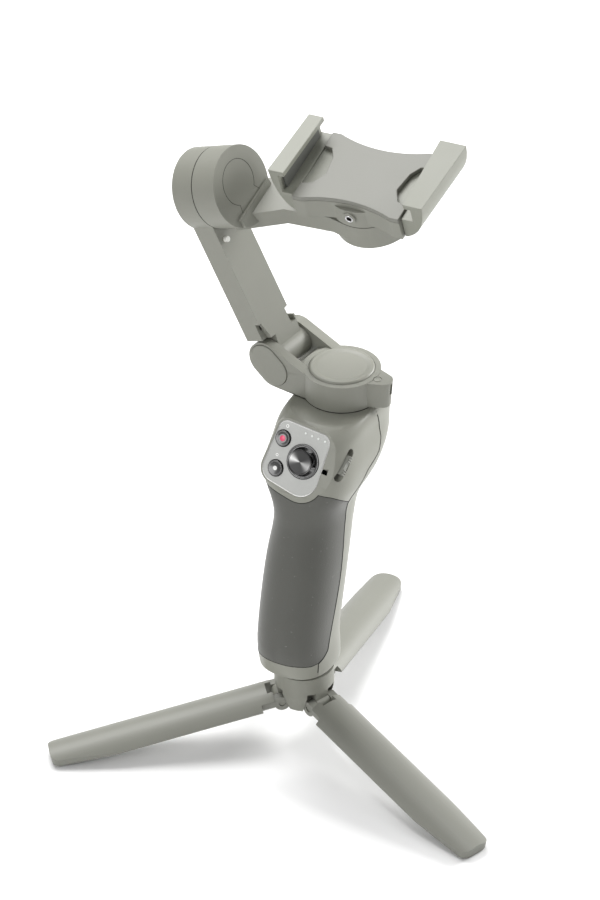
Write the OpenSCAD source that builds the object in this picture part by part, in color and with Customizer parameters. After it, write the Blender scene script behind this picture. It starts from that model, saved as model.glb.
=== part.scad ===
// Folding three-axis phone gimbal on a three-leg table tripod.
// The floor is z = 0, the control panel faces -Y and the zoom slider is on +X.

/* [Tripod] */
// Distance from the hub axis to the tip of a spread leg
leg_reach = 118; // [105:1:119]
// Width of a leg
leg_width = 21.5; // [20:0.5:22]
// Thickness of a leg at its crown
leg_thickness = 5.6; // [5.2:0.1:5.8]
// Slope of a spread leg below level
leg_slope = 11.5; // [10.5:0.25:11.75]
// Compass angle of the rear leg, from +X
leg_heading = 99; // [60:1:120]
// Height of the leg hinge pins above the floor
leg_pivot_height = 22; // [21.75:0.25:23]

/* [Handle] */
// Half the width of the handle, side to side
handle_half_width = 17.5; // [17.3:0.1:18.5]
// Height of the bottom of the handle above the floor
handle_bottom = 45.5; // [45:0.5:47]
// Height of the top of the pan collar above the floor
collar_top = 165; // [164:0.5:166]
// How far the pan axis lies behind the tripod axis
pan_back = 37.7; // [36:0.1:39]
// Thickness of the plastic shells
shell_wall = 2; // [1.8:0.1:2.2]
// Thickness of the soft grip cover
grip_thickness = 1.4; // [1:0.1:1.6]
// Lean of the control panel from upright
panel_lean = 27.5; // [26:0.5:29]

/* [Gimbal] */
// Outer radius of the pan motor housing
pan_radius = 17.4; // [17.4:0.1:17.8]
// Height of the pan motor housing
pan_height = 13; // [12.5:0.25:13.5]
// Pan angle at which the gimbal stands
pan_yaw = -6.5; // [-20:0.5:20]
// Distance from the pan axis to the folding hinge
hinge_reach = 30; // [29:0.5:34]
// Lean of the opened arm from upright
arm_lean = 21; // [15:0.5:25]
// Sideways skew of the arm in its own plane
arm_skew = 8.5; // [5:0.5:10]
// Distance from the folding hinge to the tilt axis
arm_length = 86; // [80:1:100]
// Width of the arm
arm_width = 20.8; // [19:0.1:21]
// Outer radius of the tilt motor housing
tilt_radius = 18.2; // [18:0.1:19]
// Turn of the tilt motor from the plane of the arm
tilt_turn = 10.6; // [0:0.1:20]
// Bend between the tilt axis and the phone platform
platform_bend = 19; // [17:0.5:20]

/* [Phone clamp] */
// Length of the platform between the jaws
platform_length = 52; // [50:1:54]
// Width of the platform along the jaws
platform_width = 40; // [38:1:42]
// Width of the smallest phone that the closed jaws hold
jaw_gap = 62; // [61:0.5:64]
// Height of the jaws above the platform
jaw_height = 9.5; // [9:0.5:11]
// Travel of each jaw
jaw_travel = 13; // [10:0.5:13]

/* [Hidden] */
$fn = 64;

// clearances
gap = 0.3;            // between parts that face each other
run = 0.05;           // radial clearance of a running fit
seam = 0.5;           // visible joint between turning housings

// the origin is the middle of the whole model's footprint
frame_shift = [-8.5, -19.5, 0];

// colours
grey = [0.56, 0.56, 0.52];
pale = [0.64, 0.64, 0.60];
dark = [0.27, 0.28, 0.26];
black = [0.08, 0.08, 0.08];
steel = [0.75, 0.75, 0.76];
brass = [0.78, 0.66, 0.36];
copper = [0.72, 0.42, 0.25];

// ---- places ----

// 1: pan axis, z = 0 at the rim of the pan housing, +X away from the folding hinge
pan_top = collar_top + seam + pan_height;
module in_base() translate(frame_shift) children();
module in_pan() in_base() translate([0, pan_back, pan_top]) rotate([0, 0, pan_yaw]) children();

// 2: folding hinge, the pin along Y, Z up along the opened arm
hinge_drop = 1.3;
module in_arm() in_pan()
    translate([-hinge_reach, 0, -hinge_drop])
    rotate([0, -arm_lean, 0])
    rotate([arm_skew, 0, 0])
    children();

// 3: tilt motor, its axis along X, x = 0 at the rear face of the motor
arm_rear = -6.8;                 // rear face of the arm from the hinge pin
arm_thickness = 11.3;
tilt_thickness = 24.3;
module in_tilt() in_arm()
    translate([arm_rear, 0, arm_length])
    rotate([tilt_turn, 0, 0])
    children();

// 4: phone platform, Z out of its top face, X from jaw to jaw, roll axis at the centre
clamp_reach = 52.8;
clamp_side = 18.4;
clamp_rise = 3.2;
module in_bend() in_tilt()
    translate([tilt_thickness, 0, 0])
    rotate([0, platform_bend, 0])
    children();
module in_clamp() in_bend() translate([clamp_reach, clamp_side, clamp_rise]) children();

// ---- shared shapes ----

module tube(outer, inner, bottom, top) {
    difference() {
        translate([0, 0, bottom]) cylinder(r = outer, h = top - bottom);
        translate([0, 0, bottom - 1]) cylinder(r = inner, h = top - bottom + 2);
    }
}

// a block given by its two opposite corners
module block(from, to) translate(from) cube(to - from);

// a helical spring along Z, swept as one closed skin
module coil(radius, wire, turns, length) {
    sides = 6;
    steps = 12;
    rings = turns * steps;
    points = [
        for (i = [0:rings], k = [0:sides - 1])
            let (turn = 360 * i / steps, round = 360 * k / sides,
                 out = radius + wire * cos(round))
            [out * cos(turn), out * sin(turn), length * i / rings + wire * sin(round)]
    ];
    walls = [
        for (i = [0:rings - 1], k = [0:sides - 1])
            let (next = (k + 1) % sides, a = i * sides)
            each [[a + k, a + sides + k, a + next], [a + next, a + sides + k, a + sides + next]]
    ];
    first = [for (k = [0:sides - 1]) k];
    last = [for (k = [sides - 1:-1:0]) rings * sides + k];
    polyhedron(points, concat([first, last], walls));
}

// ---- one brushless motor, used three times ----
// z = 0 is the face that the fixed half is screwed to, z = height the face that turns

motor_tube = 6.6;
bearing_outer = 5;
shaft_radius = 2.5;
bell_inner = 13;
bell_outer = 15;
poles = 9;

module motor_stator(height) color(copper) {
    core_bottom = height * 0.32;
    core_top = height - 5.5;
    difference() {
        union() {
            cylinder(r = 12, h = 1.4);
            cylinder(r = motor_tube, h = core_top);
            for (i = [0:poles - 1])
                rotate([0, 0, 360 * i / poles])
                block([motor_tube - 1, -2.2, core_bottom], [12.3, 2.2, core_top]);
        }
        translate([0, 0, -1]) cylinder(r = bearing_outer, h = height + 2);
    }
}

module motor_bearings(height) color(steel) {
    tube(bearing_outer, shaft_radius + run, 0.6, 3.1);
    tube(bearing_outer, shaft_radius + run, height - 8.5, height - 6);
}

module motor_rotor(height) color(steel) {
    difference() {
        union() {
            tube(bell_outer, bell_inner, height * 0.32, height - 2.2);
            translate([0, 0, height - 2.2]) cylinder(r = bell_outer, h = 2.2);
            translate([0, 0, height - 5]) cylinder(r = 4, h = 4);
        }
        translate([0, 0, -1]) cylinder(r = shaft_radius + 0.01, h = height + 2);
    }
}

module motor_shaft(height) color(steel)
    translate([0, 0, 0.3]) cylinder(r = shaft_radius, h = height - 0.3);

// ---- tripod ----

leg_pivot_out = 11.5;            // hinge pins from the hub axis
knuckle_radius = 3.6;
pin_radius = 1.5;
lug_half = 3.5;
fork_half = 7.5;
hub_top = 38.5;
hub_radius = 13.8;
hub_low = 19;
hub_low_radius = 11.3;
slot_top = 30;
leg_length = (leg_reach - leg_pivot_out) / cos(leg_slope);
stud_radius = 3.1;
stud_low = 27;
stud_length = 24;

module at_leg(i) in_base()
    rotate([0, 0, leg_heading + 120 * i])
    translate([leg_pivot_out, 0, leg_pivot_height])
    children();

module tripod_hub() color(grey) in_base() {
    lug_bottom = leg_pivot_height - 3;
    lug_out = leg_pivot_out + 1.2;
    difference() {
        union() {
            difference() {
                rotate_extrude() polygon([
                    [0, hub_low], [hub_low_radius, hub_low],
                    [hub_radius, slot_top - 2], [hub_radius, hub_top], [0, hub_top]]);
                for (i = [0:2])
                    rotate([0, 0, leg_heading + 120 * i])
                    block([5, -fork_half - gap, 0], [20, fork_half + gap, slot_top]);
            }
            for (i = [0:2])
                rotate([0, 0, leg_heading + 120 * i]) {
                    block([4, -lug_half, lug_bottom], [lug_out, lug_half, slot_top + 1]);
                    translate([leg_pivot_out, lug_half, leg_pivot_height])
                        rotate([90, 0, 0]) cylinder(r = knuckle_radius, h = 2 * lug_half);
                }
        }
        translate([0, 0, stud_low]) cylinder(r = stud_radius, h = 30);
        translate([0, 0, hub_top - 2.5]) cylinder(r = 6.5, h = 3);
        for (i = [0:2])
            rotate([0, 0, leg_heading + 120 * i])
            translate([leg_pivot_out, 10, leg_pivot_height])
            rotate([90, 0, 0]) cylinder(r = pin_radius, h = 20);
    }
}

module tripod_stud() color(steel) in_base() {
    translate([0, 0, stud_low]) cylinder(r = stud_radius, h = stud_length);
    tube(6.2, stud_radius - 0.5, hub_top - 2.5, hub_top - 0.8);
}

module leg_pins() color(steel)
    for (i = [0:2])
        at_leg(i)
        translate([0, fork_half - 0.6, 0])
        rotate([90, 0, 0]) cylinder(r = pin_radius, h = 2 * fork_half - 1.2);

// X runs outward along the leg, Z out of its crown, the pin lies along Y
crown = 5.8;
leg_under = crown - leg_thickness;
root_shell = 3;                // underside of the crown where it bridges the hinge
module leg(i) color(grey) at_leg(i) rotate([0, leg_slope, 0]) {
    crown_radius = 14.2;
    difference() {
        intersection() {
            translate([0, 0, -20]) linear_extrude(40) leg_outline();
            rotate([90, 0, 90]) linear_extrude(leg_length + 10) intersection() {
                translate([0, crown - crown_radius]) circle(r = crown_radius);
                translate([-leg_width, leg_under]) square([2 * leg_width, leg_thickness + 1]);
            }
        }
        // room for the hub under the crown, and a notch for its lug
        block([0, -leg_width, leg_under - 1], [9.5, leg_width, root_shell]);
        block([0, -lug_half - gap, -10], [5.6, lug_half + gap, 10]);
        // hollow underside
        hull() {
            translate([20, 0, leg_under - 1]) cylinder(r = 7, h = 3.6);
            translate([leg_length - 18, 0, leg_under - 1]) cylinder(r = 6, h = 3.6);
        }
    }
    for (side = [-1, 1])
        difference() {
            union() {
                rotate([90, 0, 0])
                    translate([0, 0, side > 0 ? lug_half + gap : -fork_half])
                    cylinder(r = knuckle_radius, h = fork_half - lug_half - gap);
                block([0, side > 0 ? -fork_half : lug_half + gap, -1],
                      [10, side > 0 ? -lug_half - gap : fork_half, root_shell + 0.5]);
            }
            rotate([90, 0, 0]) translate([0, 0, -20]) cylinder(r = pin_radius + run, h = 40);
        }
}

// plan of a leg: square shoulders at the hub, drawn in a little at the tip
module leg_outline() {
    corner = 4;
    shoulder = 3;
    tip = leg_width / 2 - 3;
    hull() {
        for (side = [-1, 1]) {
            translate([shoulder + 3, side * (leg_width / 2 - 3)]) circle(r = 3, $fn = 32);
            translate([leg_length - 30, side * (leg_width / 2 - corner)]) circle(r = corner, $fn = 32);
            translate([leg_length - corner, side * (tip - corner)]) circle(r = corner, $fn = 32);
        }
    }
}

// the rubber foot is cut level with the floor
module leg_foot(i) color(black)
    difference() {
        at_leg(i)
            translate([(leg_length - 8) * cos(leg_slope), 0, -leg_pivot_height])
            cylinder(r = 5, h = 8);
        at_leg(i) rotate([0, leg_slope, 0])
            block([-10, -30, leg_under], [200, 30, 60]);
    }

// ---- handle ----

// The handle's cross-sections: height, centre towards the rear, extra half width, half depth,
// and how boxy the section is (1 is an oval, less is boxier)
sections = [
    [handle_bottom, -3.6, -0.4, 18, 0.8],
    [50, -3.9, -0.1, 19.4, 0.86],
    [62, -4.5, -0.6, 20.9, 0.86],
    [82, 0.1, -0.3, 21.1, 0.86],
    [100, 5.3, -0.5, 21.2, 0.86],
    [116, 11, -1.4, 20.9, 0.84],
    [126, 13.7, -0.6, 22.4, 0.76],
    [136, 18.6, 3.4, 26.2, 0.62],
    [146, 23.3, 4.4, 28.5, 0.55],
    [155, 27.4, 2.9, 28.7, 0.55],
    [161, 30.4, 2.6, 27.4, 0.6],
    [164.2, 32, 1.5, 24.7, 0.7],
    [collar_top, 33.1, 0.4, 22.5, 0.75]
];
function spline(a, b, c, d, t) =
    0.5 * (2 * b + (c - a) * t + (2 * a - 5 * b + 4 * c - d) * t * t
    + (3 * b - a - 3 * c + d) * t * t * t);
function clamp_index(i) = min(max(i, 0), len(sections) - 1);
function section_at(i, t) = spline(
    sections[clamp_index(i - 1)], sections[i],
    sections[clamp_index(i + 1)], sections[clamp_index(i + 2)], t);
function rounded(v, power) = sign(v) * pow(abs(v), power);

// the handle as one solid, drawn in by a wall thickness
module handle_solid(inset, steps, sides) {
    rings = [
        for (i = [0:len(sections) - 2], k = [0:steps - 1]) section_at(i, k / steps),
        sections[len(sections) - 1]
    ];
    count = len(rings);
    points = [
        for (ring = rings, k = [0:sides - 1])
            let (a = 360 * (k + 0.5) / sides)
            [
                (handle_half_width + ring[2] - inset) * rounded(cos(a), ring[4]),
                ring[1] + (ring[3] - inset) * rounded(sin(a), ring[4]),
                ring[0]
            ]
    ];
    walls = [
        for (i = [0:count - 2], k = [0:sides - 1])
            let (next = (k + 1) % sides, a = i * sides)
            each [[a + k, a + sides + k, a + next], [a + next, a + sides + k, a + sides + next]]
    ];
    bottom = [for (k = [0:sides - 1]) k];
    top = [for (k = [sides - 1:-1:0]) (count - 1) * sides + k];
    polyhedron(points, concat([bottom, top], walls));
}

// everything in front of the seam between the two half shells, seen from the side
seam_line = [
    [-14.4, handle_bottom - 1], [-14.2, 53], [-10.8, 54.8], [-7.6, 57.2], [-6, 61.8],
    [-1.2, 75.3], [3.8, 89.7], [7.7, 104.6], [11, 118], [11.6, 127.4], [22, 139.5],
    [32, 143.5], [34.8, 150], [34.9, 157], [33.6, 162.5], [33.4, collar_top + 1]
];
module side_cut(outline, half = 30) rotate([90, 0, 90])
    translate([0, 0, -half]) linear_extrude(2 * half) polygon(outline);
module front_side() side_cut(concat(seam_line, [[-60, collar_top + 1], [-60, handle_bottom - 1]]));
module rear_side() side_cut(concat(
    [for (p = seam_line) p + [0.15, 0]], [[90, collar_top + 1], [90, handle_bottom - 1]]));

// the grip covers the front from above the bottom band to under the panel
grip_low = 53.4;
module grip_zone() side_cut([
    [-60, grip_low + 8], [-24.5, grip_low + 1.4], [-18, grip_low - 0.2], [-14.4, grip_low + 0.1],
    [-11.2, grip_low + 1.6], [-8, 57.4], [-6.4, 62], [-1.6, 75.5], [3.4, 89.9], [7.3, 104.8],
    [10.6, 118.2], [11.2, 127.5], [-3, 138], [-7, 140], [-60, 140]]);

// control panel: z = 0 on its face, Y up the panel
module in_panel() in_base() translate([0, -8.6, 134]) rotate([90 - panel_lean, 0, 0]) children();
panel_thickness = 1.5;
joystick_at = [0.7, 18.5];
record_at = [-11, 26.1];
mode_at = [-11.5, 12.3];
button_radius = 3.7;
ring_radius = 8;
module panel_outline(grow) hull() {
    translate([-10, 30.2]) circle(r = 4.4 + grow);
    translate([7.4, 28.6]) circle(r = 4.4 + grow);
    translate([1, 11.8]) circle(r = 9 + grow);
    translate([-11.5, 12.4]) circle(r = 6.6 + grow);
}

// zoom slider: z = 0 on the side of the head, X along the slot
slot_half = 6.3;
slot_radius = 1.7;
slider_half = 4.6;
slider_foot = 5.5;
slider_travel = 1.8;
module in_slider() in_base()
    translate([18.9, 5.2, 151.1]) rotate([0, 0, -7]) rotate([-49, 0, 0]) rotate([0, 90, 0])
    children();

// trigger on the rear, its pin across the handle
trigger_at = [0, 40.2, 134.8];
module in_trigger() in_base() translate(trigger_at) rotate([-41, 0, 0]) children();

motor_height = 20.5;
pan_motor_drop = 22.5;

// the room inside the handle, less the floor that the pan motor stands on
floor_thickness = 2;
roof_low = 160;
module hollow() difference() {
    intersection() {
        handle_solid(shell_wall + grip_thickness, 2, 32);
        translate([-50, -60, 0]) cube([100, 160, roof_low]);
    }
    difference() {
        translate([-40, 14, pan_top - pan_motor_drop - floor_thickness])
            cube([80, 80, floor_thickness]);
        translate([0, pan_back, 100]) cylinder(r = 4, h = 100);
    }
}

// the collar around the pan motor and the floor that it is screwed to
module collar_core(radius, low) translate([0, pan_back, low])
    cylinder(r = radius, h = collar_top + 1 - low);

// the flat brow that carries the panel
brow_depth = 15;
rim_face = 0.9;
rim_foot = 2.8;
module brow(grow, from, to) translate(-frame_shift) in_panel()
    translate([0, 0, from]) linear_extrude(to - from) panel_outline(grow);

module front_shell() color(pale) in_base() difference() {
    union() {
        intersection() {
            handle_solid(0, 3, 44);
            front_side();
        }
        // the rim slopes back from the panel
        hull() {
            brow(rim_face, -0.8, 0);
            brow(rim_foot, -brow_depth, -4.5);
        }
    }
    brow(-2, -brow_depth - 4, -4);
    // the front of the head is flat and level with the panel
    translate(-frame_shift) in_panel() block([-40, 3, 0], [40, 60, 40]);
    difference() {
        hollow();
        translate([-40, -60, 0]) cube([80, 120, handle_bottom + 2.5]);
    }
    collar_core(15.6, pan_top - pan_motor_drop);
    difference() {
        grip_zone();
        handle_solid(grip_thickness, 3, 44);
        brow(rim_foot, -brow_depth, 2);
    }
    panel_pocket();
    translate(-frame_shift) in_slider() translate([0, 0, -8])
        linear_extrude(12) slider_slot();
    // room for the slider's foot behind the wall
    translate(-frame_shift) in_slider()
        block([-slider_foot - slider_travel - gap, -3 - gap, -12],
              [slider_foot + slider_travel + gap, 3 + gap, -5 + gap]);
    socket_bore();
}

module panel_pocket() translate(-frame_shift) in_panel() {
    translate([0, 0, -panel_thickness]) linear_extrude(20) panel_outline(0.1);
    translate([joystick_at[0], joystick_at[1], -9]) cylinder(r = ring_radius - 0.4, h = 10);
    for (at = [record_at, mode_at])
        translate([at[0], at[1], -9]) cylinder(r = button_radius + gap, h = 10);
}

module socket_bore() translate([0, 0, handle_bottom - 1]) cylinder(r = 5.5, h = 12);

module slider_slot() hull() {
    translate([-slot_half, 0]) circle(r = slot_radius);
    translate([slot_half, 0]) circle(r = slot_radius);
}

module rear_shell() color(pale) in_base() {
    rear_skin();
    // seat of the trigger spring
    translate(-frame_shift) in_trigger() {
        block([-3, -9.4, -13], [3, 0.4, -9.8]);
        block([-3, -9.4, -13], [3, -7.6, -1]);
    }
}

module rear_skin() difference() {
    intersection() {
        handle_solid(0, 3, 44);
        rear_side();
    }
    difference() {
        hollow();
        translate([-40, -60, 0]) cube([80, 120, handle_bottom + 2.5]);
    }
    collar_core(15.6, pan_top - pan_motor_drop);
    translate(-frame_shift) in_trigger() {
        trigger_opening();
        translate([-8, 1, 6.5]) rotate([0, 90, 0]) cylinder(r = 1 + run, h = 16);
    }
    socket_bore();
    for (port = [c_port, a_port])
        block([-port[0] - 0.15, 5, port[3] - port[1] - 0.15],
              [port[0] + 0.15, 40, port[3] + port[1] + 0.15]);
}

module trigger_opening() block([-6.3, -12, -9.3], [6.3, 12, 9.3]);

module grip_cover() color(dark) in_base() difference() {
    intersection() {
        handle_solid(0, 3, 44);
        grip_zone();
    }
    handle_solid(grip_thickness, 3, 44);
    brow(rim_foot + gap / 2, -brow_depth, 2);
}

module base_plate() color(dark) in_base() difference() {
    translate([0, 0, hub_top + 0.3]) cylinder(r = 13, h = handle_bottom - hub_top - 0.3);
    translate([0, 0, hub_top]) cylinder(r = 5.5, h = 10);
}

module socket_insert() color(brass) in_base()
    tube(5.5, stud_radius, hub_top + 0.3, handle_bottom + 7);

cell_radius = 7.7;
cell_length = 50;
cell_low = 56.5;
cell_lean = 13;
module battery_cells() color([0.20, 0.36, 0.55]) in_base()
    translate([0, -4.9, cell_low]) rotate([-cell_lean, 0, 0])
    for (y = [-cell_radius - 0.1, cell_radius + 0.1])
        translate([0, y, 0]) cylinder(r = cell_radius, h = cell_length);

module main_board() color([0.10, 0.30, 0.16]) in_panel()
    block([-11, 4, -13.6], [11, 25, -12]);

module control_panel() color([0.60, 0.61, 0.59]) in_panel() difference() {
    translate([0, 0, -panel_thickness + 0.02]) linear_extrude(panel_thickness) panel_outline(0);
    translate([joystick_at[0], joystick_at[1], -3]) cylinder(r = ring_radius - 0.6, h = 6);
    for (at = [record_at, mode_at])
        translate([at[0], at[1], -3]) cylinder(r = button_radius + gap / 2, h = 6);
    status_holes(0.55);
}

module status_holes(radius)
    for (i = [0:3])
        translate([-0.9 + 3.3 * i, 31.1 - 0.35 * i, -panel_thickness - 1])
        cylinder(r = radius, h = panel_thickness + 2);

module status_lights() color([0.85, 0.90, 0.85]) in_panel()
    intersection() {
        status_holes(0.5);
        block([-20, 0, -panel_thickness], [20, 40, 0.1]);
    }

module joystick_module() color(black) in_panel()
    translate([joystick_at[0], joystick_at[1], 0]) {
        tube(ring_radius - 0.7, ring_radius - 1.4, -8, 0.3);
        tube(ring_radius - 0.7, 4, -9, -8);
        block([-4.5, -4.5, -10.5], [4.5, 4.5, -9]);
    }

joystick_pivot = -6;
ball_radius = 2.4;
module joystick_gimbal() color(steel) in_panel()
    translate([joystick_at[0], joystick_at[1], joystick_pivot])
    tube(ball_radius + 1, ball_radius + run, -0.8, 0.8);

cap_height = 9.8;
dish_radius = 14;
module joystick_cap() color(black) in_panel()
    translate([joystick_at[0], joystick_at[1], joystick_pivot])
    difference() {
        union() {
            cylinder(r = 1.6, h = 7);
            translate([0, 0, 6]) cylinder(r1 = 4.6, r2 = 5.8, h = cap_height - 6);
            sphere(r = ball_radius);
        }
        translate([0, 0, cap_height - 0.8 + dish_radius]) sphere(r = dish_radius);
    }

module push_button(at) in_panel() translate([at[0], at[1], 0]) {
    translate([0, 0, -3]) cylinder(r = button_radius, h = 3.9);
    translate([0, 0, -4]) cylinder(r = button_radius - 1, h = 1.2);
}

module record_button() color(black) push_button(record_at);
module mode_button() color(black) push_button(mode_at);

module zoom_slider() color(dark) in_slider() {
    block([-slider_half, -slot_radius + gap, -5], [slider_half, slot_radius - gap, 0.9]);
    block([-slider_foot, -3, -6.4], [slider_foot, 3, -5]);
    // finger ridges at both ends
    for (x = [-4.6, -3.5, -2.4, 1.8, 2.9, 4])
        block([x, -slot_radius + gap, 0.8], [x + 0.6, slot_radius - gap, 1.5]);
}

module trigger() color(dark) in_trigger() difference() {
    union() {
        block([-5.9, -1, -8.8], [5.9, 6, 8.8]);
        translate([-5.9, 1, 6.5]) rotate([0, 90, 0]) cylinder(r = 2.3, h = 11.8);
    }
    translate([-10, 1, 6.5]) rotate([0, 90, 0]) cylinder(r = 1 + run, h = 20);
    translate([-10, 14.5, -1.5]) rotate([0, 90, 0]) cylinder(r = 11, h = 20);
}

module trigger_pin() color(steel) in_trigger()
    translate([-7.6, 1, 6.5]) rotate([0, 90, 0]) cylinder(r = 1, h = 15.2);

module trigger_spring() color(steel) in_trigger()
    translate([0, -7.2, -4]) rotate([-90, 0, 0]) coil(1.8, 0.3, 5, 5.4);

// sockets in the rear: half width, half height, front face, height above the floor
c_port = [4.5, 1.7, 13.4, 60];
a_port = [6.6, 2.9, 16.7, 74];
module socket(port, rim, back) in_base() difference() {
    block([-port[0], port[2], port[3] - port[1]], [port[0], port[2] + 2.6, port[3] + port[1]]);
    block([-port[0] + rim, port[2] + back, port[3] - port[1] + rim],
          [port[0] - rim, port[2] + 4, port[3] + port[1] - rim]);
}
module usb_c_port() color(steel) socket(c_port, 0.6, 1);
module usb_a_port() color(steel) socket(a_port, 0.5, 1);

// ---- pan axis ----

module in_pan_motor() in_pan() translate([0, 0, -pan_motor_drop]) children();
module pan_stator() in_pan_motor() motor_stator(motor_height);
module pan_bearings() in_pan_motor() motor_bearings(motor_height);
module pan_rotor() in_pan_motor() motor_rotor(motor_height);
module pan_shaft() in_pan_motor() motor_shaft(motor_height);

ear_inner = 9.2;
ear_outer = 14.2;
ear_radius = 8.7;
hinge_pin_radius = 2.5;
cap_radius = 14.8;
nose_reach = 20.6;
nose_turn = 6;

module yoke() color(grey) in_pan() difference() {
    union() {
        translate([0, 0, -pan_height]) cylinder(r = pan_radius, h = pan_height);
        // nose opposite the hinge
        rotate([0, 0, nose_turn]) hull() {
            translate([nose_reach, 0, -pan_height])
                cylinder(r1 = 3.6, r2 = 4.6, h = pan_height - 0.2, $fn = 32);
            translate([8, 0, -pan_height]) cylinder(r = 9, h = pan_height - 0.2, $fn = 32);
        }
        for (side = [-1, 1])
            translate([0, side > 0 ? ear_outer : -ear_inner, 0])
            rotate([90, 0, 0])
            linear_extrude(ear_outer - ear_inner)
            ear_outline();
        // web between the ears, behind the arm's barrel
        rotate([90, 0, 0]) translate([0, 0, -ear_inner - 1]) linear_extrude(2 * ear_inner + 2)
            polygon([[-10, -12.5], [-22.6, -12.5], [-22.4, -5], [-19, -1.8], [-10, -1.2]]);
    }
    translate([0, 0, -pan_height - 1]) cylinder(r = 15.4, h = pan_height - 1);
    translate([0, 0, -1.1]) cylinder(r = cap_radius + 0.1, h = 2);
    translate([-hinge_reach, 30, -hinge_drop])
        rotate([90, 0, 0]) cylinder(r = hinge_pin_radius + 0.02, h = 60);
    for (side = [-1, 1])
        translate([0, side > 0 ? ear_outer + 2 : -ear_outer + 1, 0])
        rotate([90, 0, 0]) linear_extrude(3) ear_cap(0.15);
    // access hole and latch slot in the nose
    rotate([0, 0, nose_turn]) {
        translate([18.6, -1.2, -1.2]) cylinder(r = 2, h = 4);
        block([nose_reach + 2.4, -0.9, -7], [nose_reach + 6, 0.9, -1.2]);
    }
}

// an ear from the side: a rounded end a little past the pin, running down to the housing
ear_high = [-hinge_reach - 2, -hinge_drop + 0.4];
ear_low = [-hinge_reach + 2.5, -hinge_drop - 3.1];
module ear_outline() hull() {
    translate(ear_high) circle(r = ear_radius, $fn = 48);
    translate(ear_low) circle(r = ear_radius, $fn = 48);
    translate([-9.5, -pan_height]) square([1, pan_height - 1.2]);
}

// the oval cap on the outside of each ear
module ear_cap(grow) hull() {
    translate(ear_high) circle(r = ear_radius - 1.1 + grow, $fn = 48);
    translate(ear_low) circle(r = ear_radius - 1.1 + grow, $fn = 48);
}

module pan_cap() color(pale) in_pan() difference() {
    translate([0, 0, -1.1]) cylinder(r = cap_radius, h = 2);
    translate([0, 0, 0.3]) cylinder(r = cap_radius - 2.6, h = 2);
}

module hinge_pin() color(grey) in_pan()
    translate([-hinge_reach, 0, -hinge_drop]) rotate([90, 0, 0]) {
        translate([0, 0, -ear_outer + 1.1]) cylinder(r = hinge_pin_radius, h = 2 * ear_outer - 2.2);
    }

module ear_caps() color(grey) in_pan()
    for (side = [-1, 1])
        translate([0, side > 0 ? ear_outer + 0.5 : -ear_outer + 1, 0])
        rotate([90, 0, 0]) linear_extrude(1.5) ear_cap(0);

// ---- folding arm ----

barrel_half = 9;
barrel_radius = 7;
neck_top = 14;
arm_offset = -3.4;              // middle of the arm from the middle of the hinge
shoulder_low = 11.3;
motor_wall = 1.8;
housing_inner = 16.4;
rear_depth = arm_thickness;

module arm_shell() color(grey) in_arm() difference() {
    left = arm_offset - arm_width / 2;
    right = arm_offset + arm_width / 2;
    front = arm_rear + arm_thickness;
    union() {
        rotate([-arm_skew, 0, 0]) {
            rotate([90, 0, 0]) translate([0, 0, -barrel_half])
                cylinder(r = barrel_radius, h = 2 * barrel_half);
            block([-barrel_radius, -barrel_half, 0], [front, barrel_half - 2, neck_top]);
        }
        block([arm_rear, left, shoulder_low], [front, right, arm_length]);
        in_motor_seat() cylinder(r = tilt_radius, h = rear_depth);
    }
    rotate([90 - arm_skew, 0, 0]) translate([0, 0, -20]) cylinder(r = hinge_pin_radius + run, h = 40);
    // cavity for the ribbon, open at the rear under the cover
    block([arm_rear - 1, left + 1.8, 18], [2.6, right - 1.8, arm_length - 15]);
    in_motor_seat() translate([0, 0, motor_wall]) cylinder(r = housing_inner, h = 20);
    // cover rebate
    block([arm_rear - 1, left + 0.9, 17], [arm_rear + 1.4, right - 0.9, 66]);
    // seat of the spring latch below the motor
    in_latch() cylinder(r = 1.3, h = 10);
    // square to the pin above the yoke's ears, which pass under the blade when the arm is folded
    rotate([-arm_skew, 0, 0]) {
        block([arm_rear - 1, -40, -20], [front + 1, -ear_inner + gap, shoulder_low]);
        block([arm_rear - 1, ear_inner - gap, -20], [front + 1, 40, shoulder_low]);
    }
    // stepped corners
    block([arm_rear - 1, right - 2.2, shoulder_low - 1], [front + 1, right + 1, 18.5]);
    translate([front - 2.4, 0, 0]) rotate([90, 0, 90]) linear_extrude(4)
        polygon([[left - 1, shoulder_low - 1], [left + 3.6, shoulder_low - 1],
                 [left + 3.6, 14], [left + 1.4, 22], [left - 1, 22]]);
}

module in_latch() translate([arm_rear + arm_thickness - 2.6, arm_offset - 6.6, arm_length - tilt_radius - 2.4])
    rotate([0, 90, 0]) children();

module in_motor_seat() translate([arm_rear, 0, arm_length]) rotate([0, 90, 0]) children();

module arm_cover() color(grey) in_arm()
    block([arm_rear + 0.1, arm_offset - arm_width / 2 + 1.05, 17.15],
          [arm_rear + 1.4, arm_offset + arm_width / 2 - 1.05, 65.85]);

module arm_ribbon() color([0.75, 0.45, 0.15]) in_arm()
    block([-1.4, arm_offset - 4, 20], [-1.1, arm_offset + 4, arm_length - 20]);

module latch_pin() color([0.86, 0.86, 0.84]) in_arm() in_latch()
    cylinder(r = 1.3, h = 4.4);

// ---- tilt axis ----

module in_tilt_motor() in_tilt() translate([motor_wall, 0, 0]) rotate([0, 90, 0]) children();
tilt_motor_height = tilt_thickness - 2 * motor_wall;
module tilt_stator() in_tilt_motor() motor_stator(tilt_motor_height);
module tilt_bearings() in_tilt_motor() motor_bearings(tilt_motor_height);
module tilt_rotor() in_tilt_motor() motor_rotor(tilt_motor_height);
module tilt_shaft() in_tilt_motor() motor_shaft(tilt_motor_height);

// roll housing below the platform
roll_radius = 18.2;
roll_low = -26.5;
roll_top = -14.1;
plate_thickness = 9;
roll_cover_thickness = 1.6;

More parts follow.
